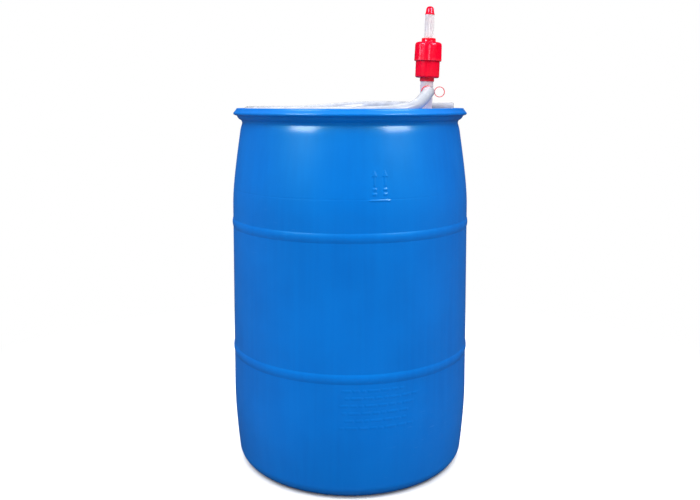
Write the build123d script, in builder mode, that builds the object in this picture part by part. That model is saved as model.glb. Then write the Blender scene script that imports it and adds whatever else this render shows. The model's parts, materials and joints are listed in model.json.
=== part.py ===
"""Closed-head 55 US gallon polyethylene water barrel with a plunger siphon pump standing in one bung.

Frame: millimetres, +Z up, origin on the floor at the centre of the base, +X towards the pump, -Y the front.
"""
import os
from math import cos, pi, radians, sin

from build123d import *

# Barrel: outside sizes
barrel_height = 883.0
body_radius = 296.5
wall = 5.0
foot_outer_radius = 260.0
foot_inner_radius = 228.0
foot_recess = 10.0
foot_slope = 14.0
base_corner = 30.0
base_radius = 285.5
taper_top = 190.0
bead_heights = (284.0, 600.0)
bead_half_height = 11.0
bead_rise = 1.9
shoulder_start = 640.0
neck_radius = 272.2

# Barrel: handling ring and recessed head
ring_tip_radius = 293.5
ring_tip_low = 867.6
ring_tip_high = 871.8
ring_root_radius = 284.5
ring_root_height = 864.0
ring_inner_radius = 274.0
ring_top_radius = 286.0
head_height = 859.5
pad_radius = 118.0
pad_rise = 2.5

# Bungs
bung_radius = 198.0
neck_bore = 29.8
neck_outer = 36.0
neck_top = 868.0
neck_bottom = 842.0
gasket_thickness = 2.4
plug_body_radius = 27.2
plug_flange_radius = 36.5
plug_flange_thickness = 4.0
plug_depth = 20.0
plug_floor = 4.0
plug_lugs = 6
small_bore = 13.05
small_boss = 17.0
small_boss_height = 12.0
small_gasket = 1.6

# Pump: lean and stations along its own axis, measured from the floor
lean = radians(2.1)
pump_floor_x = 160.1
foot_station = 15.8
branch_station = 924.0
neck_station = 941.0
collar_station = 951.0
housing_station = 960.0
cap_station = 1002.0
cap_top_station = 1050.0
gland_top_station = 1059.0
knob_station = 1118.0
knob_top_station = 1139.0

# Pump: radii
tube_radius = 13.5
tube_wall = 2.5
tee_radius = 16.0
tee_bore = 12.1
branch_radius = 11.3
branch_bore = 7.0
housing_radius = 30.3
housing_bore = 26.0
cap_radius = 34.4
cap_top_radius = 33.5
cap_bore = 30.65
gland_radius = 18.0
plunger_radius = 11.5
plunger_wall = 2.0
running_gap = 0.06
ball_radius = 8.5
seat_bore = 6.6

# Hose and clip
hose_radius = 14.0
hose_bore = 11.5
hose_straight = 41.0
hose_free_length = 40.0
clip_thickness = 2.5
clip_band = 1.8
clip_front = -22.0
free_ring_radius = 13.4
free_ring_offset = 30.3

os.makedirs("parts", exist_ok=True)

pump_direction = (sin(lean), 0, cos(lean))
pump_across = (cos(lean), 0, -sin(lean))
pump_origin = (pump_floor_x, 0, 0)
pump_axis = Axis(pump_origin, pump_direction)
pump_section = Plane(pump_origin, x_dir=pump_across, z_dir=(0, -1, 0))


def pump_level(station):
    """Plane square to the pump's axis at a station."""
    x, y, z = pump_direction
    place = (pump_floor_x + station * x, 0, station * z)
    return Plane(place, x_dir=pump_across, z_dir=pump_direction)


def turned(outline, section=pump_section, axis=pump_axis, mode=Mode.ADD):
    """Turn a closed outline of (radius, height) corners about an axis into the part being built."""
    with BuildSketch(section) as profile:
        with BuildLine():
            Polyline(*outline, close=True)
        make_face()
    revolve(profile.sketch, axis=axis, mode=mode)


def ring_outline(inner, outer, low, high):
    """Corners of a plain ring."""
    return [(inner, low), (outer, low), (outer, high), (inner, high)]


def edges_at_radius(part, radius, station, reach=0.3):
    """Round edges of the given radius whose centre lies at the station of the pump's axis."""
    centre = pump_level(station).origin
    chosen = part.edges().filter_by(GeomType.CIRCLE)
    return chosen.filter_by(
        lambda e: abs(e.radius - radius) < 0.05 and (e.arc_center - centre).length < reach
    )


def finish(part, name):
    """Label a finished piece and write it as its own STEP file."""
    part.label = name
    export_step(part, f"parts/{name}.step")


# ---------------------------------------------------------------- barrel
with BuildPart() as drum_shell:
    with BuildSketch(Plane.XZ):
        with BuildLine():
            foot_slope_start = (foot_inner_radius - foot_slope, foot_recess)
            Polyline((0, foot_recess), foot_slope_start, (foot_inner_radius, 0), (foot_outer_radius, 0))
            corner_middle = (
                base_radius - base_corner + base_corner * sin(pi / 4) - 0.5,
                base_corner * (1 - cos(pi / 4)),
            )
            corner_top = (base_radius, base_corner)
            ThreePointArc((foot_outer_radius, 0), corner_middle, corner_top)
            taper_middle = (
                body_radius - (body_radius - base_radius) * 0.35,
                base_corner + (taper_top - base_corner) * 0.45,
            )
            Spline(
                corner_top,
                taper_middle,
                (body_radius, taper_top),
                tangents=[(0.12, 1), (0, 1)],
            )
            side_start = (body_radius, taper_top)
            for height in bead_heights:
                bead_low = (body_radius, height - bead_half_height)
                bead_high = (body_radius, height + bead_half_height)
                Line(side_start, bead_low)
                ThreePointArc(bead_low, (body_radius + bead_rise, height), bead_high)
                side_start = bead_high
            Line(side_start, (body_radius, shoulder_start))
            shoulder_end = (neck_radius + 0.9, 842.0)
            Spline(
                (body_radius, shoulder_start),
                (294.9, 680.0),
                (290.1, 728.0),
                (283.7, 778.0),
                (278.0, 818.0),
                shoulder_end,
                tangents=[(0, 1), (-0.34, 1)],
            )
            waist_end = (neck_radius + 2.4, 853.4)
            ThreePointArc(shoulder_end, (neck_radius, 848.5), waist_end)
            root = (ring_root_radius, ring_root_height)
            ThreePointArc(waist_end, (280.6, 857.4), root)
            tip_land_low = (ring_tip_radius, ring_tip_low)
            tip_land_high = (ring_tip_radius, ring_tip_high)
            Polyline(root, tip_land_low, tip_land_high, (ring_top_radius, 881.0))
            top_outer = (ring_top_radius - 2.4, barrel_height)
            Spline((ring_top_radius, 881.0), top_outer, tangents=[(-0.6, 0.8), (-1, 0)])
            top_inner = (ring_inner_radius + 2.0, barrel_height)
            Line(top_outer, top_inner)
            ThreePointArc(
                top_inner,
                (ring_inner_radius + 0.6, barrel_height - 0.6),
                (ring_inner_radius, barrel_height - 2.0),
            )
            well_low = (ring_inner_radius - 1.0, head_height + 5.0)
            well_foot = (ring_inner_radius - 6.0, head_height)
            Line((ring_inner_radius, barrel_height - 2.0), well_low)
            ThreePointArc(well_low, (ring_inner_radius - 2.6, head_height + 1.4), well_foot)
            Polyline(
                well_foot,
                (pad_radius + 7.0, head_height),
                (pad_radius, head_height + pad_rise),
                (0, head_height + pad_rise),
                (0, foot_recess),
            )
        make_face()
    revolve(axis=Axis.Z)

    # the hollow, a wall's thickness inside
    with BuildSketch(Plane.XZ):
        with BuildLine():
            inside_foot = (base_radius - wall - 24.0, wall)
            inside_corner = (base_radius - wall, base_corner)
            Polyline(
                (0, foot_recess + wall),
                (foot_inner_radius - foot_slope + 2.0, foot_recess + wall),
                (foot_inner_radius + 2.0, wall),
                inside_foot,
            )
            ThreePointArc(
                inside_foot,
                (inside_corner[0] - 7.2, wall + 7.0),
                inside_corner,
            )
            Spline(
                inside_corner,
                (taper_middle[0] - wall, taper_middle[1]),
                (body_radius - wall, taper_top),
                tangents=[(0.12, 1), (0, 1)],
            )
            inside_top = (body_radius - wall, shoulder_start)
            Line((body_radius - wall, taper_top), inside_top)
            inside_neck = (neck_radius - wall, 842.0)
            Spline(
                inside_top,
                (289.9, 680.0),
                (278.7, 778.0),
                inside_neck,
                tangents=[(0, 1), (-0.3, 1)],
            )
            Polyline(
                inside_neck,
                (neck_radius - wall - 10.0, head_height - wall),
                (0, head_height - wall),
                (0, foot_recess + wall),
            )
        make_face()
    revolve(axis=Axis.Z, mode=Mode.SUBTRACT)

    # the two bung necks, one each side of the head
    bung_centres = [(-bung_radius, 0), (bung_radius, 0)]
    with BuildSketch(Plane.XY.offset(neck_bottom)):
        with Locations(*bung_centres):
            Circle(neck_outer)
    extrude(amount=neck_top - neck_bottom)
    with BuildSketch(Plane.XY.offset(head_height - 1.0)):
        with Locations(*bung_centres):
            Circle(neck_outer + 5.0)
    extrude(amount=4.5, taper=35)
    with BuildSketch(Plane.XY.offset(neck_bottom - 5.0)):
        with Locations(*bung_centres):
            Circle(neck_bore)
    extrude(amount=neck_top - neck_bottom + 10.0, mode=Mode.SUBTRACT)
finish(drum_shell.part, "drum_shell")

# ---------------------------------------------------------------- bung plug
plug_section = Plane((-bung_radius, 0, 0), x_dir=(1, 0, 0), z_dir=(0, -1, 0))
plug_axis = Axis((-bung_radius, 0, 0), (0, 0, 1))
plug_seat = neck_top + gasket_thickness
plug_top = plug_seat + plug_flange_thickness
plug_bottom = plug_seat - plug_depth - gasket_thickness
plug_floor_top = plug_bottom + plug_floor
plug_wall_inner = plug_body_radius - 3.4
small_boss_top = plug_floor_top + small_boss_height

with BuildPart() as bung_gasket:
    turned(ring_outline(neck_bore - 0.6, neck_outer - 0.5, neck_top, plug_seat), plug_section, plug_axis)
finish(bung_gasket.part, "bung_gasket")

with BuildPart() as bung_plug:
    turned(
        [
            (small_bore, plug_bottom),
            (plug_body_radius - 1.0, plug_bottom),
            (plug_body_radius, plug_bottom + 1.0),
            (plug_body_radius, plug_seat),
            (plug_flange_radius, plug_seat),
            (plug_flange_radius, plug_top - 0.8),
            (plug_flange_radius - 0.8, plug_top),
            (plug_wall_inner + 1.0, plug_top),
            (plug_wall_inner, plug_top - 1.0),
            (plug_wall_inner, plug_floor_top),
            (small_boss, plug_floor_top),
            (small_boss, small_boss_top),
            (small_bore, small_boss_top),
        ],
        plug_section,
        plug_axis,
    )
    # lugs that a bung wrench turns
    with BuildSketch(Plane((-bung_radius, 0, plug_floor_top - 0.5))):
        with PolarLocations(plug_wall_inner - 1.2, plug_lugs):
            Rectangle(4.2, 5.0)
    extrude(amount=plug_top - plug_floor_top - 3.0)
    # finger notches round the flange
    with BuildSketch(Plane((-bung_radius, 0, plug_seat - 1.0))):
        with PolarLocations(plug_flange_radius + 1.2, 24):
            Circle(2.0)
    extrude(amount=plug_flange_thickness + 2.0, mode=Mode.SUBTRACT)
finish(bung_plug.part, "bung_plug")

small_seat = small_boss_top + small_gasket
small_top = small_seat + 2.8
with BuildPart() as reducer_gasket:
    turned(
        ring_outline(small_bore + 0.2, small_boss - 0.4, small_boss_top, small_seat),
        plug_section,
        plug_axis,
    )
finish(reducer_gasket.part, "reducer_gasket")

with BuildPart() as reducer_plug:
    turned(
        [
            (0, plug_bottom + 0.8),
            (small_bore - 0.9, plug_bottom + 0.8),
            (small_bore - 0.1, plug_bottom + 1.6),
            (small_bore - 0.1, small_seat),
            (small_boss + 0.2, small_seat),
            (small_boss + 0.2, small_top - 0.6),
            (small_boss - 0.4, small_top),
            (10.0, small_top),
            (9.6, small_top - 0.4),
            (9.6, plug_bottom + 4.0),
            (0, plug_bottom + 4.0),
        ],
        plug_section,
        plug_axis,
    )
    with BuildSketch(Plane((-bung_radius, 0, plug_bottom + 3.5))):
        with PolarLocations(8.4, 4):
            Rectangle(3.0, 3.4)
    extrude(amount=small_top - plug_bottom - 5.5)
finish(reducer_plug.part, "reducer_plug")

# ---------------------------------------------------------------- intake tube
tube_top = neck_station - 40.0
foot_top = foot_station + 36.0
tube_bottom = foot_station + 16.0
with BuildPart() as intake_tube:
    turned(ring_outline(tube_radius - tube_wall, tube_radius, tube_bottom, tube_top))
    chamfer(edges_at_radius(intake_tube.part, tube_radius, tube_top), 0.5)
finish(intake_tube.part, "intake_tube")

foot_radius = tube_radius + 2.2
foot_slots = 6
with BuildPart() as intake_foot:
    turned(
        [
            (0, foot_station),
            (foot_radius - 1.5, foot_station),
            (foot_radius, foot_station + 1.5),
            (foot_radius, foot_top),
            (tube_radius + 0.05, foot_top),
            (tube_radius + 0.05, tube_bottom),
            (tube_radius - tube_wall, tube_bottom),
            (tube_radius - tube_wall, foot_station + 3.0),
            (0, foot_station + 3.0),
        ]
    )
    for slot in range(foot_slots):
        around = slot * 360.0 / foot_slots
        slot_plane = pump_level(foot_station + 5.0).rotated((0, 0, around))
        with BuildSketch(slot_plane):
            with Locations((foot_radius - 1.5, 0)):
                Rectangle(9.0, 3.6)
        extrude(amount=9.0, mode=Mode.SUBTRACT)
finish(intake_foot.part, "intake_foot")

# ---------------------------------------------------------------- tee and valves
leg_bottom = tube_top - 25.0
seat_station = tube_top + 6.0
chamber_bottom = seat_station + 3.0
stub_bottom = neck_station + 4.0
tee_top = housing_station - 0.2
branch_end = 42.0
branch_centre = pump_level(branch_station).origin
branch_plane = Plane(branch_centre, x_dir=(1, 0, 0), z_dir=(0, -1, 0))

with BuildPart() as tee_body:
    turned(
        [
            (tube_radius + 0.05, leg_bottom),
            (tee_radius - 0.8, leg_bottom),
            (tee_radius, leg_bottom + 0.8),
            (tee_radius, tee_top),
            (tee_bore, tee_top),
            (tee_bore, seat_station),
            (tube_radius - tube_wall, seat_station),
            (tube_radius - tube_wall, tube_top),
            (tube_radius + 0.05, tube_top),
        ]
    )
    # moulded band below the collar nut
    turned(ring_outline(tee_radius - 0.5, tee_radius + 0.7, neck_station - 2.0, neck_station))
    with BuildSketch(branch_plane):
        Circle(branch_radius)
    extrude(amount=branch_end)
    # shallow grooves round the branch, which the hose grips
    for groove in range(3):
        with BuildSketch(branch_plane.offset(24.0 + 5.0 * groove)):
            Circle(branch_radius + 0.5)
            Circle(branch_radius - 0.6, mode=Mode.SUBTRACT)
        extrude(amount=1.6, mode=Mode.SUBTRACT)
    with BuildSketch(branch_plane):
        Circle(branch_bore)
    extrude(amount=branch_end + 1.0, mode=Mode.SUBTRACT)
    turned(ring_outline(0, tee_bore, seat_station, tee_top + 1.0), mode=Mode.SUBTRACT)
finish(tee_body.part, "tee_body")

with BuildPart() as inlet_valve_seat:
    turned(
        [
            (seat_bore, seat_station),
            (tee_bore - 0.05, seat_station),
            (tee_bore - 0.05, chamber_bottom),
            (seat_bore + 1.2, chamber_bottom),
            (seat_bore, chamber_bottom - 1.0),
        ]
    )
finish(inlet_valve_seat.part, "inlet_valve_seat")

# the ball touches the seat's conical lip from above
ball_station = chamber_bottom - 1.0 + (ball_radius**2 - seat_bore**2) ** 0.5 + 0.75
with BuildPart() as inlet_valve_ball:
    with BuildSketch(pump_section):
        with BuildLine():
            bottom_pole = (0, ball_station - ball_radius)
            top_pole = (0, ball_station + ball_radius)
            ThreePointArc(bottom_pole, (ball_radius, ball_station), top_pole)
            Line(top_pole, bottom_pole)
        make_face()
    revolve(axis=pump_axis)
finish(inlet_valve_ball.part, "inlet_valve_ball")

flap_radius = 9.2
flap_thickness = 1.4
with BuildPart() as outlet_valve_flap:
    with BuildSketch(branch_plane.offset(branch_end + 0.2)):
        Circle(flap_radius)
        with Locations((0, flap_radius - 0.6)):
            Rectangle(8.0, 2.4)
    extrude(amount=flap_thickness)
finish(outlet_valve_flap.part, "outlet_valve_flap")

# ---------------------------------------------------------------- pump body
housing_floor = housing_station + 6.0
housing_top = 1041.0
thread_band = cap_station + 5.0
with BuildPart() as pump_housing:
    turned(
        [
            (8.0, stub_bottom),
            (tee_bore - 0.1, stub_bottom),
            (tee_bore - 0.1, housing_station),
            (housing_radius, housing_station),
            (housing_radius, thread_band),
            (housing_radius - 0.9, thread_band),
            (housing_radius - 0.9, housing_top),
            (housing_bore, housing_top),
            (housing_bore, housing_floor),
            (8.0, housing_floor),
        ]
    )
    fillet(edges_at_radius(pump_housing.part, housing_radius, housing_station), 4.5)
    fillet(edges_at_radius(pump_housing.part, housing_bore, housing_floor), 2.0)
finish(pump_housing.part, "pump_housing")

with BuildPart() as collar_nut:
    turned(ring_outline(tee_radius + 0.05, gland_radius, collar_station, housing_station - 0.1))
    with BuildSketch(pump_level(collar_station - 1.0)):
        with PolarLocations(gland_radius + 0.7, 20):
            Circle(1.1)
    extrude(amount=housing_station - collar_station + 2.0, mode=Mode.SUBTRACT)
finish(collar_nut.part, "collar_nut")

gasket_top = housing_top + 2.5
cap_shoulder = 1041.5
gland_bore = plunger_radius + running_gap
spigot_radius = 16.0
spigot_bottom = gasket_top
with BuildPart() as pump_cap:
    with BuildSketch(pump_section):
        with BuildLine():
            rim_outer = (cap_radius, cap_station + 1.0)
            shoulder = (cap_top_radius, cap_shoulder)
            crown = (gland_radius + 0.6, cap_top_station)
            Polyline(
                crown,
                (spigot_radius, cap_top_station),
                (spigot_radius, spigot_bottom),
                (cap_bore, spigot_bottom),
                (cap_bore, cap_station),
                (cap_radius - 1.0, cap_station),
                rim_outer,
                shoulder,
            )
            Spline(shoulder, (31.6, 1046.9), crown, tangents=[(-0.04, 1), (-1, 0.12)])
        make_face()
    revolve(axis=pump_axis)
finish(pump_cap.part, "pump_cap")

with BuildPart() as housing_gasket:
    turned(ring_outline(housing_bore + 0.3, cap_bore - 0.3, housing_top, gasket_top))
finish(housing_gasket.part, "housing_gasket")

seal_groove = 14.5
seal_height = 3.6
castellations = 8
with BuildPart() as gland_nut:
    turned(
        [
            (seal_groove, spigot_bottom),
            (spigot_radius - 0.05, spigot_bottom),
            (spigot_radius - 0.05, cap_top_station),
            (gland_radius, cap_top_station),
            (gland_radius - 0.6, gland_top_station),
            (gland_bore + 0.6, gland_top_station),
            (gland_bore, gland_top_station - 0.6),
            (gland_bore, spigot_bottom + seal_height + 0.2),
            (seal_groove, spigot_bottom + seal_height + 0.2),
        ]
    )
    with BuildSketch(pump_level(gland_top_station - 5.2)):
        with PolarLocations(gland_radius, castellations, start_angle=22.5):
            Rectangle(6.4, 6.0)
    extrude(amount=8.0, mode=Mode.SUBTRACT)
finish(gland_nut.part, "gland_nut")

with BuildPart() as gland_seal:
    turned(
        ring_outline(gland_bore, seal_groove - 0.1, spigot_bottom + 0.1, spigot_bottom + seal_height)
    )
finish(gland_seal.part, "gland_seal")

# ---------------------------------------------------------------- plunger
piston_top = 1042.0
piston_bottom = 1033.0
piston_radius = housing_bore - 0.7
piston_hub = plunger_radius - plunger_wall - 0.05
groove_low = piston_bottom + 2.5
groove_high = piston_top - 2.5
groove_radius = piston_radius - 3.2
with BuildPart() as piston:
    turned(
        [
            (0, piston_bottom),
            (piston_radius - 0.6, piston_bottom),
            (piston_radius, piston_bottom + 0.6),
            (piston_radius, groove_low),
            (groove_radius, groove_low),
            (groove_radius, groove_high),
            (piston_radius, groove_high),
            (piston_radius, piston_top - 0.6),
            (piston_radius - 0.6, piston_top),
            (piston_hub, piston_top),
            (piston_hub, piston_top + 14.0),
            (0, piston_top + 14.0),
        ]
    )
finish(piston.part, "piston")

with BuildPart() as piston_seal:
    turned(
        ring_outline(groove_radius + 0.1, housing_bore - running_gap, groove_low + 0.1, groove_high - 0.1)
    )
    outer_edges = edges_at_radius(piston_seal.part, housing_bore - running_gap, groove_low + 0.1)
    outer_edges += edges_at_radius(piston_seal.part, housing_bore - running_gap, groove_high - 0.1)
    fillet(outer_edges, 0.9)
finish(piston_seal.part, "piston_seal")

with BuildPart() as plunger_tube:
    turned(ring_outline(plunger_radius - plunger_wall, plunger_radius, piston_top, knob_station))
finish(plunger_tube.part, "plunger_tube")

knob_base_radius = 12.0
knob_grooves = 12
knob_spigot_bottom = 1097.0
with BuildPart() as plunger_knob:
    with BuildSketch(pump_section):
        with BuildLine():
            knob_top = (0, knob_top_station)
            skirt_top = (10.9, knob_station + 3.6)
            dome_start = (9.6, knob_station + 13.5)
            Polyline(
                knob_top,
                (0, knob_spigot_bottom + 2.0),
                (piston_hub - 1.6, knob_spigot_bottom),
                (piston_hub, knob_spigot_bottom + 1.6),
                (piston_hub, knob_station),
                (knob_base_radius, knob_station),
                (knob_base_radius, knob_station + 1.6),
                skirt_top,
                dome_start,
            )
            Spline(dome_start, (6.6, knob_top_station - 1.9), knob_top, tangents=[(-0.14, 1), (-1, 0)])
        make_face()
    revolve(axis=pump_axis)
    for flute in range(knob_grooves):
        flute_angle = flute * 360.0 / knob_grooves
        flute_plane = pump_level(knob_station + 3.6).rotated((0, 0, flute_angle))
        with BuildSketch(flute_plane):
            with Locations((11.75, 0)):
                Circle(1.5)
        extrude(amount=14.0, mode=Mode.SUBTRACT)
finish(plunger_knob.part, "plunger_knob")

# ---------------------------------------------------------------- hose and clip
hose_start = 17.0
hose_bend = hose_start + hose_straight
deck = head_height + hose_radius + 0.3
free_end_height = 883.0
free_end_turn = radians(-11.0)
free_direction = (cos(free_end_turn), sin(free_end_turn), 0)
free_end = (266.0, 24.0, free_end_height)
free_start = tuple(free_end[i] - hose_free_length * free_direction[i] for i in range(3))
bend_start = (branch_centre.X, -hose_bend, branch_centre.Z)
start_plane = branch_plane.offset(hose_start)

# the coil: down from the branch, round the left of the head, and back behind the pump, sprung a little clear
coil_radius = 256.5
coil_start = 252.0
coil_end = 128.0


def on_coil(angle):
    """Point of the hose's centre line on the head at an angle about the barrel's axis."""
    return (coil_radius * cos(radians(angle)), coil_radius * sin(radians(angle)), deck)


def along_coil(angle):
    """Direction of the hose there, clockwise from above."""
    return (sin(radians(angle)), -cos(radians(angle)), 0)


with BuildPart() as discharge_hose:
    with BuildLine() as coil:
        Line(tuple(start_plane.origin), bend_start)
        Spline(
            bend_start,
            (184.0, -98.0, 916.0),
            (160.0, -136.0, 893.0),
            (118.0, -165.0, 880.0),
            (52.0, -207.0, deck + 1.2),
            on_coil(coil_start),
            tangents=[(0, -1, 0), along_coil(coil_start)],
            tangent_scalars=(1.0, 1.0),
        )
        CenterArc((0, 0, deck), coil_radius, coil_start, coil_end - coil_start)
        Spline(
            on_coil(coil_end),
            (-60.0, 236.0, deck + 7.0),
            (50.0, 210.0, deck + 13.0),
            (124.0, 138.0, deck + 13.0),
            (170.0, 66.0, deck + 11.0),
            free_start,
            tangents=[along_coil(coil_end), free_direction],
            tangent_scalars=(1.0, 1.0),
        )
        Line(free_start, free_end)
    with BuildSketch(start_plane):
        Circle(hose_radius)
        Circle(hose_bore, mode=Mode.SUBTRACT)
    sweep(path=coil.line)
finish(discharge_hose.part, "discharge_hose")

clip_plane = branch_plane.offset(-clip_front)
clip_bore = hose_radius + running_gap
clip_ring_radius = clip_bore + clip_band
free_ring_centre = (free_ring_offset, 0)
link_height = 2.4
with BuildPart() as hose_clip:
    with BuildSketch(clip_plane):
        Circle(clip_ring_radius)
        with Locations(free_ring_centre):
            Circle(free_ring_radius)
        for side in (-1, 1):
            with Locations((clip_ring_radius + 0.2, side * link_height)):
                Rectangle(2.6, 1.4)
        Circle(clip_bore, mode=Mode.SUBTRACT)
        with Locations(free_ring_centre):
            Circle(free_ring_radius - clip_band, mode=Mode.SUBTRACT)
    extrude(amount=clip_thickness)
finish(hose_clip.part, "hose_clip")
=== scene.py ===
"""Looks for a closed-head water barrel with a plunger siphon pump standing in its right-hand bung."""

import json
import math

import bpy
import numpy as np
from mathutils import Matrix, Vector
from mathutils.geometry import tessellate_polygon


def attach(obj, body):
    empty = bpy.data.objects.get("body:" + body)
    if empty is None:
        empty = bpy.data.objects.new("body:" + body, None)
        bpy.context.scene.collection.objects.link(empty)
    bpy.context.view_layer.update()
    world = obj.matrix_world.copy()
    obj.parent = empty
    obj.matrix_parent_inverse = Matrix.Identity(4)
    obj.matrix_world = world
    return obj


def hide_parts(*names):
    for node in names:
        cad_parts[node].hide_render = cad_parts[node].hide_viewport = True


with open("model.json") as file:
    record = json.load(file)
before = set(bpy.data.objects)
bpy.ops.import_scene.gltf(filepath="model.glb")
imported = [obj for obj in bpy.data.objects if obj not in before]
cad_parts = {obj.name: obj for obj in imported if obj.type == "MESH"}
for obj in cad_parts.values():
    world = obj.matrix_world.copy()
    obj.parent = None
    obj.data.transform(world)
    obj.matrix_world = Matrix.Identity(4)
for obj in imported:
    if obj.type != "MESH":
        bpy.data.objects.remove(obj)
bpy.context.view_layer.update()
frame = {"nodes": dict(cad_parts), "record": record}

MM = 0.001
TURN = 2 * math.pi

# Barrel, in millimetres
HEIGHT = 883.0
BODY_RADIUS = 296.5
WALL = 5.0
BASE_RADIUS = 285.5
BASE_CORNER = 30.0
FOOT_OUTER = 260.0
FOOT_INNER = 228.0
FOOT_RECESS = 10.0
TAPER_TOP = 190.0
BEADS = (284.0, 600.0)
BEAD_HALF = 11.0
BEAD_RISE = 1.9
SHOULDER_START = 640.0
SHOULDER_END = 842.0
NECK_RADIUS = 272.2
HEAD = 859.5
PAD_RADIUS = 118.0
PAD_RISE = 2.5
CREASE_HEIGHT = 685.0
BUNG_RADIUS = 198.0
BUNG_BORE = 29.8
BUNG_OUTER = 36.0
BUNG_TOP = 868.0
BUNG_BOTTOM = 842.0
THREAD_PITCH = 5.08
THREAD_LOW, THREAD_HIGH = 846.0, 864.0
NECK_THREAD_DEPTH = 1.6
PLUG_THREAD_ROOT, PLUG_THREAD_CREST = 27.2, 28.9
PLUG_THREAD_LOW = 848.5 + THREAD_PITCH / 2

# Pump and hose, in millimetres
HOSE_RADIUS = 14.0
HOSE_BORE = 11.5
HOSE_START = 17.0
HOSE_BEND = 58.0
BRANCH = (193.96, 0.0, 923.38)
COIL_RADIUS = 256.5
COIL_START = 252.0
COIL_END = 128.0
HOSE_REST = HEAD + HOSE_RADIUS + 0.3
FREE_LENGTH = 40.0
FREE_END = (266.0, 24.0, 883.0)
FREE_TURN = math.radians(-11.0)

# Moulded marks on the side, in millimetres: x is measured round to the right of the front
ARROWS = (55.0, 79.5)
ARROW_TIP = 748.0
ARROW_BASE = 735.0
SHAFT_MIDDLE = 726.0
MARKS_UNDER_ARROWS = (707.0, 696.5)
BAR_HEIGHT = 683.0
DASH_ROWS = 6
DASH_LOW = 173.0
DASH_PITCH = 17.0
DASH_FROM, DASH_TO = -24.0, 150.0
DASH_GAP = 5.0
ARROW_RISE = 0.9
MARK_RISE = 0.8
DASH_RISE = 0.34
CREASE_DEPTH = 0.22
FINE_FROM, FINE_TO = -48.0, 158.0

# Light and camera, in metres, degrees and watts
FLOOR_BOUNCE = 0.31
FLOOR_WHITE = 0.86
HORIZON, ZENITH = 0.32, 2.55
AIM = (0.0, 0.0, 0.8)
PUMP_AIM = (0.2, 0.0, 1.0)
LIGHT_DISTANCE = 2.3
STRIP_DISTANCE = 2.0
SOFTBOX_SIZE = (1.1, 0.9)
GLINT_SIZE = (1.0, 0.9)
SPOT_SIZE = (0.3, 0.15)
STRIP_HEIGHT = 1.3
CAMERA_PLACE = (0.0, -1.917, 0.894)
CAMERA_TILT = 0.08
CAMERA_FOCUS = 38.67
CAMERA_SENSOR = 36.0
CAMERA_RISE = -0.1229


# ---------------------------------------------------------------- curves
def arc_through(a, b, c, steps):
    """Points of the arc from a to c through b, in the plane, a left out."""
    (ax, ay), (bx, by), (cx, cy) = a, b, c
    d = 2 * (ax * (by - cy) + bx * (cy - ay) + cx * (ay - by))
    aa, bb, cc = ax * ax + ay * ay, bx * bx + by * by, cx * cx + cy * cy
    ux = (aa * (by - cy) + bb * (cy - ay) + cc * (ay - by)) / d
    uy = (aa * (cx - bx) + bb * (ax - cx) + cc * (bx - ax)) / d
    radius = math.hypot(ax - ux, ay - uy)
    start = math.atan2(ay - uy, ax - ux)
    middle = (math.atan2(by - uy, bx - ux) - start) % TURN
    sweep = (math.atan2(cy - uy, cx - ux) - start) % TURN
    if middle > sweep:
        sweep -= TURN
    angles = [start + sweep * (i + 1) / steps for i in range(steps)]
    return [(ux + radius * math.cos(t), uy + radius * math.sin(t)) for t in angles]


def smooth_curve(points, first, last, steps):
    """A clamped cubic spline through points, spaced by chord length, its first point left out."""
    p = np.array(points, float)
    t = np.concatenate([[0.0], np.cumsum(np.linalg.norm(np.diff(p, axis=0), axis=1))])
    h = np.diff(t)
    n = len(p)
    left, right = np.eye(n), np.zeros_like(p)
    right[0] = np.array(first) / np.linalg.norm(first)
    right[-1] = np.array(last) / np.linalg.norm(last)
    for i in range(1, n - 1):
        left[i, i - 1 : i + 2] = h[i], 2 * (h[i - 1] + h[i]), h[i - 1]
        before, after = (p[i] - p[i - 1]) / h[i - 1], (p[i + 1] - p[i]) / h[i]
        right[i] = 3 * (h[i] * before + h[i - 1] * after)
    slope = np.linalg.solve(left, right)
    made = []
    for i in range(n - 1):
        for k in range(1, steps + 1):
            s = k / steps
            a = (1 + 2 * s) * (1 - s) ** 2 * p[i] + s * (1 - s) ** 2 * h[i] * slope[i]
            b = s * s * (3 - 2 * s) * p[i + 1] - s * s * (1 - s) * h[i] * slope[i + 1]
            made.append(tuple(a + b))
    return made


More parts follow.
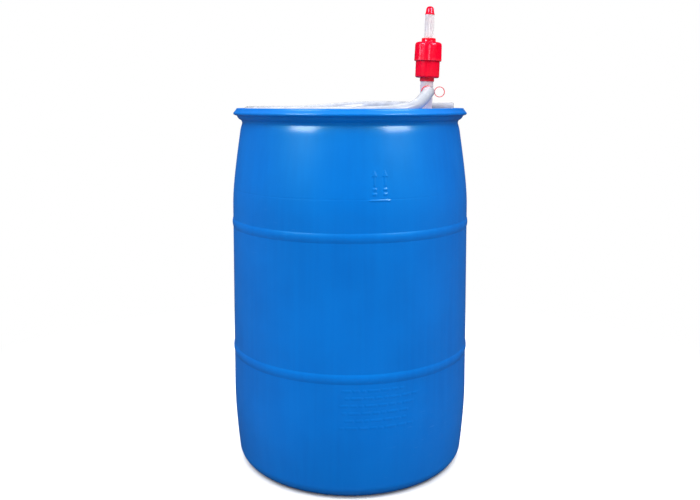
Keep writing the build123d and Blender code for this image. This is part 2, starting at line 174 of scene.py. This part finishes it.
# ---------------------------------------------------------------- mesh building
class Skin:
    """Gathers rings of points, in millimetres, and the faces between them, into one mesh."""

    def __init__(self):
        self.points = []
        self.faces = []

    def ring(self, points):
        start = len(self.points)
        self.points.extend(points)
        return list(range(start, len(self.points)))

    def join(self, one, other, closed=True):
        """Quads between two rings of the same length, with one below other as seen from outside."""
        count = len(one)
        for i in range(count if closed else count - 1):
            j = (i + 1) % count
            self.faces.append((one[i], one[j], other[j], other[i]))

    def fan(self, ring, tip, flip=False):
        """Triangles from a ring to one point."""
        middle = len(self.points)
        self.points.append(tip)
        for i in range(len(ring)):
            j = (i + 1) % len(ring)
            corner = (ring[j], ring[i], middle) if flip else (ring[i], ring[j], middle)
            self.faces.append(corner)

    def fill(self, loops, up=True):
        """Flat triangles between an outer loop and the loops of its holes."""
        order = [i for loop in loops for i in loop]
        outlines = [[Vector(self.points[i]) for i in loop] for loop in loops]
        for triangle in tessellate_polygon(outlines):
            a, b, c = (order[k] for k in triangle)
            pa, pb, pc = (Vector(self.points[i]) for i in (a, b, c))
            rises = (pb - pa).cross(pc - pa).z > 0
            self.faces.append((a, b, c) if rises == up else (a, c, b))

    def piece(self, name, body, material, sharp=35.0):
        """The finished object, smooth except where it turns by more than the sharp angle."""
        mesh = bpy.data.meshes.new(name)
        mesh.from_pydata([tuple(MM * c for c in p) for p in self.points], [], self.faces)
        mesh.validate()
        mesh.shade_smooth()
        mesh.set_sharp_from_angle(angle=math.radians(sharp))
        mesh.materials.append(material)
        made = bpy.data.objects.new(name, mesh)
        bpy.context.scene.collection.objects.link(made)
        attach(made, body)
        return made


# ---------------------------------------------------------------- shader building
class Shader:
    """The node tree of a material or the world. Nodes are made by naming their inputs, with _ for a space."""

    def __init__(self, name, kind="Material"):
        self.kind = kind
        self.owner = bpy.data.worlds.new(name) if kind == "World" else bpy.data.materials.new(name)
        self.owner.use_nodes = True
        self.tree = self.owner.node_tree
        self.tree.nodes.clear()

    def node(self, kind, settings=None, output=0, **inputs):
        made = self.tree.nodes.new("ShaderNode" + kind)
        for key, value in (settings or {}).items():
            setattr(made, key, value)
        for key, value in inputs.items():
            socket = made.inputs[int(key[1:])] if key[0] == "i" else made.inputs[key.replace("_", " ")]
            if isinstance(value, bpy.types.NodeSocket):
                self.tree.links.new(value, socket)
            else:
                socket.default_value = value
        return made.outputs[output]

    def place(self, scale=(1, 1, 1)):
        """Object coordinates, stretched."""
        where = self.node("TexCoord", output=3)
        return self.node("Mapping", Vector=where, Scale=scale)

    def noise(self, scale, detail=2.0, stretch=(1, 1, 1), rough=0.5):
        return self.node(
            "TexNoise", Vector=self.place(stretch), Scale=scale, Detail=detail, Roughness=rough
        )

    def ramp(self, value, low, high, to_low=0.0, to_high=1.0):
        """Value from low..high spread smoothly over to_low..to_high."""
        made = self.tree.nodes.new("ShaderNodeMapRange")
        made.interpolation_type = "SMOOTHSTEP"
        self.tree.links.new(value, made.inputs["Value"])
        ends = (("From Min", low), ("From Max", high), ("To Min", to_low), ("To Max", to_high))
        for key, number in ends:
            made.inputs[key].default_value = number
        return made.outputs[0]

    def maths(self, operation, one, other=0.0):
        return self.node("Math", {"operation": operation}, i0=one, i1=other)

    def blend(self, share, one, other, kind="MIX"):
        """Mix of two colours."""
        settings = {"data_type": "RGBA", "blend_type": kind}
        return self.node("Mix", settings, output=2, i0=share, i6=one, i7=other)

    def bump(self, height, strength, distance, before=None):
        made = self.node("Bump", Height=height, Strength=strength, Distance=distance)
        if before is not None:
            self.tree.links.new(before, made.node.inputs["Normal"])
        return made

    def surface(self, shader):
        out = self.tree.nodes.new("ShaderNodeOutput" + self.kind)
        self.tree.links.new(shader, out.inputs["Surface"])
        return self.owner


def colour(red, green, blue):
    return (red, green, blue, 1.0)


def barrel_plastic():
    """Blue blow-moulded polyethylene: satin, faintly mottled, with flow streaks and scuffs, and a painted
    highlight that makes its convex edges paler.
    """
    s = Shader("barrel_plastic")
    cloud = s.ramp(s.noise(5.0, 3.0), 0.35, 0.65)
    base = s.blend(cloud, colour(0.0, 0.125, 0.535), colour(0.0, 0.142, 0.590))
    streak = s.ramp(s.noise(9.0, 4.0, (9, 9, 0.35)), 0.3, 0.75)
    base = s.blend(s.maths("MULTIPLY", streak, 0.25), base, colour(0.0, 0.166, 0.645))
    # paler towards the foot: the lowest 0.16 m is blended towards a slightly lighter blue
    height = s.node("SeparateXYZ", output=2, Vector=s.place())
    low = s.ramp(height, 0.16, 0.0)
    base = s.blend(s.maths("MULTIPLY", low, 0.3), base, colour(0.0, 0.150, 0.585))
    # painted highlight: convex edges and bead crests are made paler, in patches
    point = s.node("NewGeometry", output=7)
    edge = s.ramp(point, 0.515, 0.56)
    painted_edge_highlight = s.maths("MULTIPLY", edge, s.ramp(s.noise(60.0, 4.0), 0.35, 0.7, 0.25, 1.0))
    base = s.blend(s.maths("MULTIPLY", painted_edge_highlight, 0.35), base, colour(0.02, 0.24, 0.80))
    scratch = s.ramp(s.noise(34.0, 5.0, (1, 1, 7), 0.62), 0.63, 0.70)
    patch = s.ramp(s.noise(3.2, 2.0), 0.52, 0.66)
    scuff = s.maths("MULTIPLY", scratch, patch)
    base = s.blend(s.maths("MULTIPLY", scuff, 0.22), base, colour(0.10, 0.33, 0.80))
    rough = s.ramp(s.noise(14.0, 4.0), 0.3, 0.7, 0.46, 0.54)
    rough = s.maths("ADD", rough, s.maths("MULTIPLY", scuff, 0.16))
    peel = s.noise(260.0, 2.0)
    wave = s.noise(11.0, 1.0)
    normal = s.bump(wave, 0.12, 0.0010)
    normal = s.bump(peel, 0.22, 0.0004, normal)
    normal = s.bump(scuff, 0.15, 0.0002, normal)
    return s.surface(
        s.node(
            "BsdfPrincipled",
            Base_Color=base,
            Roughness=rough,
            IOR=1.5,
            Normal=normal,
            Specular_IOR_Level=0.25,
            Specular_Tint=colour(0.0, 0.9, 1.0),
            Coat_Weight=0.3,
            Coat_Roughness=0.21,
        )
    )


def glossy_red():
    """Glossy red moulded plastic with slight sink marks and fine scratches, and a painted highlight that
    makes its convex edges pinker.
    """
    s = Shader("pump_plastic")
    cloud = s.ramp(s.noise(45.0, 3.0), 0.3, 0.7)
    base = s.blend(cloud, colour(0.79, 0.0, 0.019), colour(0.87, 0.0, 0.026))
    # painted highlight: convex edges are made pinker
    edge = s.ramp(s.node("NewGeometry", output=7), 0.52, 0.6)
    base = s.blend(s.maths("MULTIPLY", edge, 0.3), base, colour(0.95, 0.10, 0.12))
    rough = s.ramp(s.noise(120.0, 4.0), 0.3, 0.7, 0.16, 0.24)
    normal = s.bump(s.noise(38.0, 1.0), 0.10, 0.0005)
    normal = s.bump(s.noise(900.0, 3.0), 0.04, 0.0001, normal)
    return s.surface(
        s.node(
            "BsdfPrincipled",
            Base_Color=base,
            Roughness=rough,
            IOR=1.52,
            Normal=normal,
            Specular_IOR_Level=0.3,
            Specular_Tint=colour(1.0, 0.4, 0.6),
            Coat_Weight=0.08,
            Coat_Roughness=0.16,
        )
    )


def translucent(name, tint, shade, thin, thick, rough, through):
    """Milky see-through plastic: thin where it faces the eye, denser towards its outline.

    through is the strength of a painted glow in the plastic's own colour, standing in for the light behind it
    that comes out at the front.
    """
    s = Shader(name)
    cloud = s.ramp(s.noise(30.0, 3.0), 0.3, 0.7)
    base = s.blend(cloud, tint, shade)
    drawn = s.ramp(s.noise(160.0, 2.0, (1, 1, 0.04)), 0.35, 0.65, 0.0, 0.35)
    base = s.blend(drawn, base, tint)
    normal = s.bump(s.noise(70.0, 2.0), 0.12, 0.0004)
    normal = s.bump(s.noise(600.0, 2.0), 0.05, 0.0001, normal)
    facing = s.node("LayerWeight", output=1, Blend=0.35)
    cover = s.ramp(facing, 0.0, 0.85, thin, thick)
    rough = s.ramp(s.noise(90.0, 3.0), 0.3, 0.7, rough, rough + 0.08)
    return s.surface(
        s.node(
            "BsdfPrincipled",
            Base_Color=base,
            Roughness=rough,
            IOR=1.45,
            Normal=normal,
            Alpha=cover,
            # painted light: the emission is a glow standing in for light shining through the plastic
            Emission_Color=base,
            Emission_Strength=through,
            Coat_Weight=0.3,
            Coat_Roughness=0.08,
        )
    )


def white_plastic(name, low, high, rough):
    """White moulded plastic with a fine grain."""
    s = Shader(name)
    cloud = s.ramp(s.noise(25.0, 4.0), 0.3, 0.7)
    base = s.blend(cloud, low, high)
    rough = s.ramp(s.noise(140.0, 3.0), 0.3, 0.7, rough, rough + 0.1)
    normal = s.bump(s.noise(500.0, 3.0), 0.15, 0.0002)
    return s.surface(s.node("BsdfPrincipled", Base_Color=base, Roughness=rough, IOR=1.5, Normal=normal))


def black_rubber():
    """Dull black seal rubber with a bloom."""
    s = Shader("seal_rubber")
    bloom = s.ramp(s.noise(40.0, 4.0), 0.35, 0.75)
    base = s.blend(bloom, colour(0.012, 0.012, 0.013), colour(0.045, 0.045, 0.05))
    normal = s.bump(s.noise(700.0, 3.0), 0.3, 0.0002)
    return s.surface(s.node("BsdfPrincipled", Base_Color=base, Roughness=0.62, IOR=1.5, Normal=normal))


# ---------------------------------------------------------------- barrel
def body_outline():
    """Radius against height of the side, from the top of the base corner to the start of the waist."""
    middle = (
        BODY_RADIUS - (BODY_RADIUS - BASE_RADIUS) * 0.35,
        BASE_CORNER + (TAPER_TOP - BASE_CORNER) * 0.45,
    )
    taper = [(BASE_RADIUS, BASE_CORNER), middle, (BODY_RADIUS, TAPER_TOP)]
    side = taper[:1] + smooth_curve(taper, (0.12, 1), (0, 1), 120)
    for height in BEADS:
        low, high = (BODY_RADIUS, height - BEAD_HALF), (BODY_RADIUS, height + BEAD_HALF)
        side += [low] + arc_through(low, (BODY_RADIUS + BEAD_RISE, height), high, 40)
    shoulder = [
        (BODY_RADIUS, SHOULDER_START),
        (294.9, 680.0),
        (290.1, 728.0),
        (283.7, 778.0),
        (278.0, 818.0),
        (NECK_RADIUS + 0.9, SHOULDER_END),
    ]
    side += shoulder[:1] + smooth_curve(shoulder, (0, 1), (-0.34, 1), 80)
    return np.array(side)


def ring_outline():
    """The waist groove, handling ring and the well's wall, from the shoulder to the head."""
    start = (NECK_RADIUS + 0.9, SHOULDER_END)
    outline = arc_through(start, (NECK_RADIUS, 848.5), (NECK_RADIUS + 2.4, 853.4), 8)
    outline += arc_through(outline[-1], (280.6, 857.4), (284.5, 864.0), 8)
    outline += [(285.3, 864.5), (288.6, 865.7), (291.7, 866.9)]
    outline += arc_through((291.7, 866.9), (292.95, 867.6), (293.5, 868.9), 4)
    outline += [(293.5, 870.4)]
    outline += arc_through((293.5, 870.4), (293.3, 871.5), (292.6, 872.7), 4)
    outline += [(290.8, 874.8), (288.9, 877.2), (286.9, 879.9)]
    outline += arc_through((286.9, 879.9), (285.7, 882.1), (283.6, HEIGHT), 5)
    outline += [(281.0, HEIGHT), (278.5, HEIGHT), (276.0, HEIGHT)]
    outline += arc_through((276.0, HEIGHT), (274.6, HEIGHT - 0.6), (274.0, HEIGHT - 2.0), 4)
    outline += [(273.7, 875.0), (273.3, 869.0), (273.0, HEAD + 5.0)]
    outline += arc_through((273.0, HEAD + 5.0), (271.4, HEAD + 1.4), (268.0, HEAD), 6)
    return outline


def soft_box(s, z, centre, half, corner):
    """Distance outside a rounded box at each point of the side."""
    dx = np.abs(s - centre[0]) - half[0] + corner
    dz = np.abs(z - centre[1]) - half[1] + corner
    outside = np.hypot(np.maximum(dx, 0), np.maximum(dz, 0))
    return outside + np.minimum(np.maximum(dx, dz), 0) - corner


def raised(distance, height, soft=0.8):
    """Height of a moulded shape with rounded flanks."""
    t = np.clip(0.5 - distance / (2 * soft), 0, 1)
    return height * t * t * (3 - 2 * t)


def relief(s, z):
    """How far the moulded marks stand out of the side, at s millimetres round to the right of the front.

    The dashes vary in length and the rows in width by counting, so that they read as a block of blank marks.
    """
    out = np.zeros_like(s)
    for x in ARROWS:
        shaft = soft_box(s, z, (x, SHAFT_MIDDLE), (1.7, 11.5), 0.8)
        head = np.maximum(np.abs(s - x) * 0.92 + (z - ARROW_TIP) * 0.40, ARROW_BASE - z)
        out = np.maximum(out, raised(np.minimum(shaft, head), ARROW_RISE))
        for middle in MARKS_UNDER_ARROWS:
            mark = soft_box(s, z, (x, middle), (4.6, 2.6), 1.6)
            out = np.maximum(out, raised(mark, MARK_RISE))
    bar = soft_box(s, z, (sum(ARROWS) / 2, BAR_HEIGHT), (24.0, 1.8), 1.2)
    out = np.maximum(out, raised(bar, ARROW_RISE))
    for row in range(DASH_ROWS):
        level = DASH_LOW + DASH_PITCH * row
        start = DASH_FROM + 6.0 * ((row * 5) % 3)
        stop = DASH_TO - 9.0 * ((row * 7) % 4)
        index = 0
        while start < stop:
            length = 9.0 + 5.5 * ((index * 3 + row * 2) % 4)
            dash = soft_box(s, z, (start + length / 2, level), (length / 2, 2.7), 2.0)
            out = np.maximum(out, raised(dash, DASH_RISE))
            start += length + DASH_GAP
            index += 1
    crease = np.exp(-(((z - CREASE_HEIGHT) / 0.9) ** 2))
    return out - CREASE_DEPTH * crease * np.clip((z - 670) / 5, 0, 1)


def side_rows():
    """Heights of the side's rows: close together where there is something small to show."""
    dash_high = DASH_LOW + DASH_PITCH * (DASH_ROWS - 1)
    rows = set(np.arange(BASE_CORNER, TAPER_TOP - 20, 9.0))
    rows |= set(np.arange(DASH_LOW - 9.0, dash_high + 11.0, 1.2))
    for height in BEADS:
        rows |= set(np.arange(height - BEAD_HALF - 1.1, height + BEAD_HALF + 1.2, 1.1))
    rows |= set(np.arange(300.0, 586.0, 11.0))
    rows |= set(np.arange(614.0, 674.0, 6.0))
    rows |= set(np.arange(BAR_HEIGHT - 8.0, ARROW_TIP + 3.0, 1.1))
    rows |= set(np.arange(752.0, SHOULDER_END, 4.5))
    rows |= {SHOULDER_END}
    kept = []
    for z in sorted(rows):
        if not kept or z - kept[-1] > 0.5:
            kept.append(float(z))
    return kept


def side_angles():
    """Angles of the side's columns: close together across the moulded marks at the front."""
    fine = np.arange(FINE_FROM, FINE_TO, 1.5)
    coarse = np.linspace(FINE_TO, TURN * BODY_RADIUS + FINE_FROM, 222)[:-1]
    return np.concatenate([fine, coarse]) / BODY_RADIUS - math.pi / 2


def make_barrel(material):
    """The whole blow moulding as one closed skin: outside, head, bung necks and hollow."""
    skin = Skin()
    angles = side_angles()
    cosines, sines = np.cos(angles), np.sin(angles)
    around = (angles + math.pi / 2) * BODY_RADIUS
    side = body_outline()

    def level(radius, z):
        radii = np.broadcast_to(radius, angles.shape)
        return skin.ring(list(zip(radii * cosines, radii * sines, [z] * len(angles))))

    # the base: recessed middle, sloped step and foot ring
    step_top, step_foot = (FOOT_INNER - 17.0, FOOT_RECESS), (FOOT_INNER - 2.5, 1.8)
    base = [(60.0, FOOT_RECESS), (150.0, FOOT_RECESS), step_top]
    base += arc_through(step_top, (214.3, 9.4), (FOOT_INNER - 11.0, 7.8), 4)
    base += [(FOOT_INNER - 6.0, 4.2), step_foot]
    base += arc_through(step_foot, (FOOT_INNER + 0.5, 0.4), (FOOT_INNER + 3.5, 0.0), 4)
    base += [(245.0, 0.0), (FOOT_OUTER, 0.0)]
    quarter = math.sin(math.pi / 4)
    corner = (
        BASE_RADIUS - BASE_CORNER + BASE_CORNER * quarter - 0.5,
        BASE_CORNER * (1 - quarter),
    )
    base += arc_through((FOOT_OUTER, 0.0), corner, (BASE_RADIUS, BASE_CORNER), 14)[:-1]
    rings = [level(r, z) for r, z in base]
    skin.fan(rings[0], (0.0, 0.0, FOOT_RECESS), flip=True)
    for z in side_rows():
        radius = np.interp(z, side[:, 1], side[:, 0])
        rings.append(level(radius + relief(around, np.full_like(around, z)), z))
    rings += [level(r, z) for r, z in ring_outline()]
    for lower, upper in zip(rings, rings[1:]):
        skin.join(lower, upper)
    head_edge = rings[-1]

    def circle(centre, radius, z, count=96):
        turn = [TURN * i / count for i in range(count)]
        return skin.ring([(centre + radius * math.cos(t), radius * math.sin(t), z) for t in turn])

    # the head, its raised pad and the two bung necks
    holes, ceilings = [], []
    neck = [(41.0, HEAD), (40.2, HEAD + 0.5), (38.6, HEAD + 2.4), (37.2, HEAD + 3.6), (36.1, HEAD + 4.6)]
    neck += [(36.0, 866.9), (35.7, 867.7), (34.9, BUNG_TOP), (30.7, BUNG_TOP), (30.0, 867.7)]
    neck += [(BUNG_BORE, 866.9), (BUNG_BORE, 855.0), (BUNG_BORE, 843.0), (30.3, BUNG_BOTTOM)]
    neck += [(35.4, BUNG_BOTTOM), (BUNG_OUTER, 842.7), (BUNG_OUTER, HEAD - WALL)]
    for side_sign in (-1, 1):
        tube = [circle(side_sign * BUNG_RADIUS, r, z) for r, z in neck]
        for lower, upper in zip(tube, tube[1:]):
            skin.join(lower, upper)
        holes.append(tube[0])
        ceilings.append(tube[-1])
    pad = [(PAD_RADIUS + 8.0, HEAD), (PAD_RADIUS + 6.4, HEAD + 0.3), (PAD_RADIUS + 3.4, HEAD + 1.3)]
    pad += [(PAD_RADIUS + 0.8, HEAD + PAD_RISE - 0.3), (PAD_RADIUS - 0.8, HEAD + PAD_RISE)]
    steps = [circle(0.0, r, z, 160) for r, z in pad]
    for lower, upper in zip(steps, steps[1:]):
        skin.join(lower, upper)
    skin.fan(steps[-1], (0.0, 0.0, HEAD + PAD_RISE))
    skin.fill([head_edge, steps[0]] + holes)

    # the hollow, from its ceiling down to the floor
    inside = [(NECK_RADIUS - WALL - 10.0, HEAD - WALL), (NECK_RADIUS - WALL, SHOULDER_END)]
    for z in (820.0, 780.0, 740.0, 700.0, 660.0, 620.0, 190.0, 140.0, 90.0, 50.0, BASE_CORNER):
        inside.append((float(np.interp(z, side[:, 1], side[:, 0])) - WALL, z))
    inside += [(278.0, 17.0), (270.0, 8.0), (256.5, WALL), (230.0, WALL), (216.0, FOOT_RECESS + WALL)]
    walls = [circle(0.0, r, z, 128) for r, z in inside]
    for upper, lower in zip(walls, walls[1:]):
        skin.join(upper, lower)
    skin.fan(walls[-1], (0.0, 0.0, FOOT_RECESS + WALL))
    skin.fill([walls[0]] + ceilings, up=False)
    made = skin.piece("barrel", "barrel", material)
    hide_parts("drum_shell")
    return made


def make_thread(name, body, centre, root, crest, low, high, material):
    """A helical ridge standing on a round wall from root to crest, tapering to nothing at each end."""
    skin = Skin()
    turns = (high - low) / THREAD_PITCH
    count = int(turns * 72)
    rings = []
    for i in range(count + 1):
        share = i / count
        angle = TURN * turns * share
        z = low + (high - low) * share
        fade = min(1.0, 6 * share, 6 * (1 - share))
        fade = 0.08 + 0.92 * fade * fade * (3 - 2 * fade)
        tip = root + (crest - root) * fade
        section = [(root, -1.25), (tip, -0.55), (tip, 0.55), (root, 1.25)]
        section.append((root - math.copysign(0.5, crest - root), 0.0))
        place = [(centre + r * math.cos(angle), r * math.sin(angle), z + dz * fade) for r, dz in section]
        rings.append(skin.ring(place if crest > root else place[::-1]))
    for one, other in zip(rings, rings[1:]):
        skin.join(other, one)
    skin.faces.append(tuple(rings[0]))
    skin.faces.append(tuple(rings[-1][::-1]))
    return skin.piece(name, body, material)


# ---------------------------------------------------------------- hose
def on_coil(angle):
    return (COIL_RADIUS * math.cos(angle), COIL_RADIUS * math.sin(angle), HOSE_REST)


def along_coil(angle):
    return (math.sin(angle), -math.cos(angle), 0)


def hose_path():
    """Centre line of the hose from the branch round the head to its cut end."""
    bx, _, bz = BRANCH
    free = (math.cos(FREE_TURN), math.sin(FREE_TURN), 0)
    free_start = tuple(FREE_END[i] - FREE_LENGTH * free[i] for i in range(3))
    bend = (bx, -HOSE_BEND, bz)
    start, end = math.radians(COIL_START), math.radians(COIL_END)
    path = [(bx, -HOSE_START - (HOSE_BEND - HOSE_START) * i / 12, bz) for i in range(13)]
    down = [bend, (184.0, -98.0, 916.0), (160.0, -136.0, 893.0), (118.0, -165.0, 880.0)]
    down += [(52.0, -207.0, HOSE_REST + 1.2), on_coil(start)]
    path += smooth_curve(down, (0, -1, 0), along_coil(start), 24)
    path += [on_coil(start + (end - start) * (i + 1) / 80) for i in range(80)]
    back = [on_coil(end), (-60.0, 236.0, HOSE_REST + 7.0), (50.0, 210.0, HOSE_REST + 13.0)]
    back += [(124.0, 138.0, HOSE_REST + 13.0), (170.0, 66.0, HOSE_REST + 11.0), free_start]
    path += smooth_curve(back, along_coil(end), free, 24)
    path += [tuple(free_start[i] + FREE_LENGTH * free[i] * k / 12 for i in range(3)) for k in range(1, 13)]
    return np.array(path)


def make_hose(material):
    """The soft tube, slightly flattened where it bends, with rounded cut ends."""
    path = hose_path()
    ahead = np.gradient(path, axis=0)
    ahead /= np.linalg.norm(ahead, axis=1)[:, None]
    turning = np.linalg.norm(np.gradient(ahead, axis=0), axis=1)
    length = np.linalg.norm(np.gradient(path, axis=0), axis=1)
    curl = np.convolve(turning / length, np.ones(9) / 9, mode="same")
    skin = Skin()
    sides = 56
    across = np.array((1.0, 0.0, 0.0))
    outer, inner = [], []
    for i, (point, forward) in enumerate(zip(path, ahead)):
        across = across - forward * (across @ forward)
        across /= np.linalg.norm(across)
        up = np.cross(across, forward)
        squeeze = min(0.06, 2.2 * curl[i])
        last = len(path) - 1
        for rings, radius, ease in ((outer, HOSE_RADIUS, -0.5), (inner, HOSE_BORE, 0.5)):
            edge = radius + (ease if i in (0, last) else 0.0)
            made = []
            for k in range(sides):
                t = TURN * k / sides
                wide = edge * math.cos(t)
                tall = edge * (1 - squeeze) * math.sin(t)
                made.append(tuple(point + across * wide + up * tall))
            rings.append(skin.ring(made))
    for one, other in zip(outer, outer[1:]):
        skin.join(other, one)
    for one, other in zip(inner, inner[1:]):
        skin.join(one, other)
    skin.join(outer[0], inner[0])
    skin.join(inner[-1], outer[-1])
    made = skin.piece("discharge_hose_soft", "pump", material, sharp=60.0)
    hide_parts("discharge_hose")
    return made


# ---------------------------------------------------------------- stage, light and camera
def make_floor():
    """A plain pale floor, fading to white far off. It throws less light back than its look suggests."""
    s = Shader("floor_white")
    path = s.tree.nodes.new("ShaderNodeLightPath")
    whiteness = s.ramp(path.outputs["Is Camera Ray"], 0.0, 1.0, FLOOR_BOUNCE, FLOOR_WHITE)
    in_reflections = s.ramp(path.outputs["Is Glossy Ray"], 0.0, 1.0, 1.0, 0.1)
    whiteness = s.maths("MULTIPLY", whiteness, in_reflections)
    tone = s.node("CombineColor", i0=whiteness, i1=whiteness, i2=whiteness)
    matt = s.node("BsdfDiffuse", Color=tone)
    s.tree.links.new(s.bump(s.noise(80.0, 3.0), 0.02, 0.0005), matt.node.inputs["Normal"])
    away = s.node("VectorMath", {"operation": "LENGTH"}, output=1, i0=s.place())
    fade = s.maths("MULTIPLY", s.ramp(away, 0.6, 1.5), path.outputs["Is Camera Ray"])
    glow = s.node("Emission", Color=colour(1, 1, 1), Strength=1.0)
    material = s.surface(s.node("MixShader", i0=fade, i1=matt, i2=glow))
    mesh = bpy.data.meshes.new("floor")
    reach = 30.0
    corners = [(-reach, -reach, 0), (reach, -reach, 0), (reach, reach, 0), (-reach, reach, 0)]
    mesh.from_pydata(corners, [], [(0, 1, 2, 3)])
    mesh.materials.append(material)
    floor = bpy.data.objects.new("floor", mesh)
    bpy.context.scene.collection.objects.link(floor)


def soft_light(name, azimuth, elevation, distance, size, power, target, glints_only=False):
    """A rectangular softbox aimed at the target, itself unseen. Azimuth is to the right of the front.

    With glints_only it shows in reflections and adds no diffuse light.
    """
    data = bpy.data.lights.new(name, "AREA")
    data.shape = "RECTANGLE"
    data.size, data.size_y = size
    data.energy = power
    light = bpy.data.objects.new(name, data)
    light.visible_diffuse = not glints_only
    light.visible_camera = False
    a, e = math.radians(azimuth), math.radians(elevation)
    away = Vector((math.sin(a) * math.cos(e), -math.cos(a) * math.cos(e), math.sin(e)))
    light.location = Vector(target) + away * distance
    light.rotation_euler = away.to_track_quat("Z", "Y").to_euler()
    bpy.context.scene.collection.objects.link(light)
    return light


def make_light():
    """A room that is white to the camera and nearly dark in reflections, with lamps in three groups.

    Softboxes at the four corners light the barrel, and the rear pair doesn't show in reflections. Two glint
    lamps and a spot make its highlights. Two strips reach only the polished parts of the pump.
    """
    s = Shader("studio", "World")
    path = s.tree.nodes.new("ShaderNodeLightPath")
    axes = s.node("SeparateXYZ", Vector=s.node("TexCoord")).node.outputs
    lit = s.ramp(axes["Z"], 0.0, 1.0, HORIZON, ZENITH)
    behind = s.ramp(axes["Y"], 0.82, 0.99, 0.01, 0.1)
    mirrored = s.maths("ADD", behind, s.ramp(axes["Z"], 0.3, 1.0, 0.0, 0.05))
    strength = s.node("Mix", i0=path.outputs["Is Glossy Ray"], i2=lit, i3=mirrored)
    strength = s.node("Mix", i0=path.outputs["Is Camera Ray"], i2=strength, i3=1.0)
    world = s.surface(s.node("Background", Color=colour(1, 1, 1), Strength=strength))
    world.cycles.sampling_method = "NONE"
    bpy.context.scene.world = world
    far = LIGHT_DISTANCE
    for name, azimuth in (("left", -48.0), ("right", 48.5)):
        soft_light("softbox_" + name, azimuth, 44.0, far, SOFTBOX_SIZE, 18.0, AIM)
        soft_light("glint_" + name, azimuth, 30.0, far, GLINT_SIZE, 95.0, AIM, glints_only=True)
        back = soft_light("back_" + name, 3 * azimuth, 34.0, far, SOFTBOX_SIZE, 9.0, AIM)
        back.visible_glossy = False
    soft_light("spot_left", -45.0, 22.0, far, SPOT_SIZE, 2.0, AIM, glints_only=True)
    polished = bpy.data.collections.new("polished_parts")
    for name in ("pump_cap", "plunger_tube"):
        polished.objects.link(frame["nodes"][name])
    for name, azimuth, width, power in (("side", -80.0, 0.40, 16.0), ("front", 4.0, 0.26, 15.0)):
        size = (width, STRIP_HEIGHT)
        strip = soft_light(
            "strip_" + name, azimuth, 6.0, STRIP_DISTANCE, size, power, PUMP_AIM, glints_only=True
        )
        strip.light_linking.receiver_collection = polished


def make_camera():
    """Camera level with the head, its lens shifted down to take in the whole barrel.

    The shift belongs to this viewpoint only. Other views turn the camera by quaternion (mode 0 rather than
    1), and a driver then drops the shift.
    """
    data = bpy.data.cameras.new("camera")
    data.lens = CAMERA_FOCUS
    data.sensor_width = CAMERA_SENSOR
    camera = bpy.data.objects.new("camera", data)
    camera.location = CAMERA_PLACE
    camera.rotation_euler = (math.pi / 2 - CAMERA_TILT, 0, 0)
    bpy.context.scene.collection.objects.link(camera)
    bpy.context.scene.camera = camera
    curve = data.driver_add("shift_y")
    curve.driver.type = "SUM"
    mode = curve.driver.variables.new()
    mode.type = "SINGLE_PROP"
    mode.targets[0].id = camera
    mode.targets[0].data_path = "rotation_mode"
    for old in list(curve.modifiers):
        curve.modifiers.remove(old)
    for turned_by, value in ((0.0, 0.0), (1.0, CAMERA_RISE)):
        key = curve.keyframe_points.insert(turned_by, value)
        key.interpolation = "LINEAR"
    curve.extrapolation = "CONSTANT"


# ---------------------------------------------------------------- build
blue = barrel_plastic()
red = glossy_red()
vinyl = translucent(
    "clear_vinyl", colour(0.44, 0.47, 0.53), colour(0.58, 0.60, 0.66),
    thin=0.72, thick=0.98, rough=0.2, through=0.0,
)
# the clear tube gets a faint painted glow, through=0.04
clear = translucent(
    "clear_tube", colour(0.72, 0.67, 0.70), colour(0.77, 0.75, 0.77),
    thin=0.55, thick=0.92, rough=0.1, through=0.04,
)
milky = translucent(
    "tee_plastic", colour(0.70, 0.58, 0.62), colour(0.76, 0.70, 0.73),
    thin=0.88, thick=1.0, rough=0.2, through=0.0,
)
bung_white = white_plastic("bung_plastic", colour(0.40, 0.40, 0.38), colour(0.47, 0.47, 0.45), 0.35)
valve_white = white_plastic("valve_plastic", colour(0.78, 0.78, 0.76), colour(0.85, 0.85, 0.84), 0.2)
rubber = black_rubber()
MATERIALS = {
    "barrel_plastic": blue,
    "pump_plastic": red,
    "clear_vinyl": vinyl,
    "clear_tube": clear,
    "tee_plastic": milky,
    "bung_plastic": bung_white,
    "valve_plastic": valve_white,
    "seal_rubber": rubber,
}
for entry in frame["record"]["subparts"]:
    node = frame["nodes"][entry["node"]]
    node.data.materials.clear()
    node.data.materials.append(MATERIALS[entry["material_slot"]])

make_barrel(blue)
for side_name, sign in (("left", -1), ("right", 1)):
    make_thread(
        "neck_thread_" + side_name, "barrel", sign * BUNG_RADIUS,
        root=BUNG_BORE, crest=BUNG_BORE - NECK_THREAD_DEPTH, low=THREAD_LOW, high=THREAD_HIGH,
        material=blue,
    )
make_thread(
    "bung_thread", "bung", -BUNG_RADIUS,
    root=PLUG_THREAD_ROOT, crest=PLUG_THREAD_CREST, low=PLUG_THREAD_LOW, high=THREAD_HIGH,
    material=bung_white,
)
make_hose(vinyl)
make_floor()
make_light()
make_camera()
bpy.context.scene.view_settings.view_transform = "Standard"
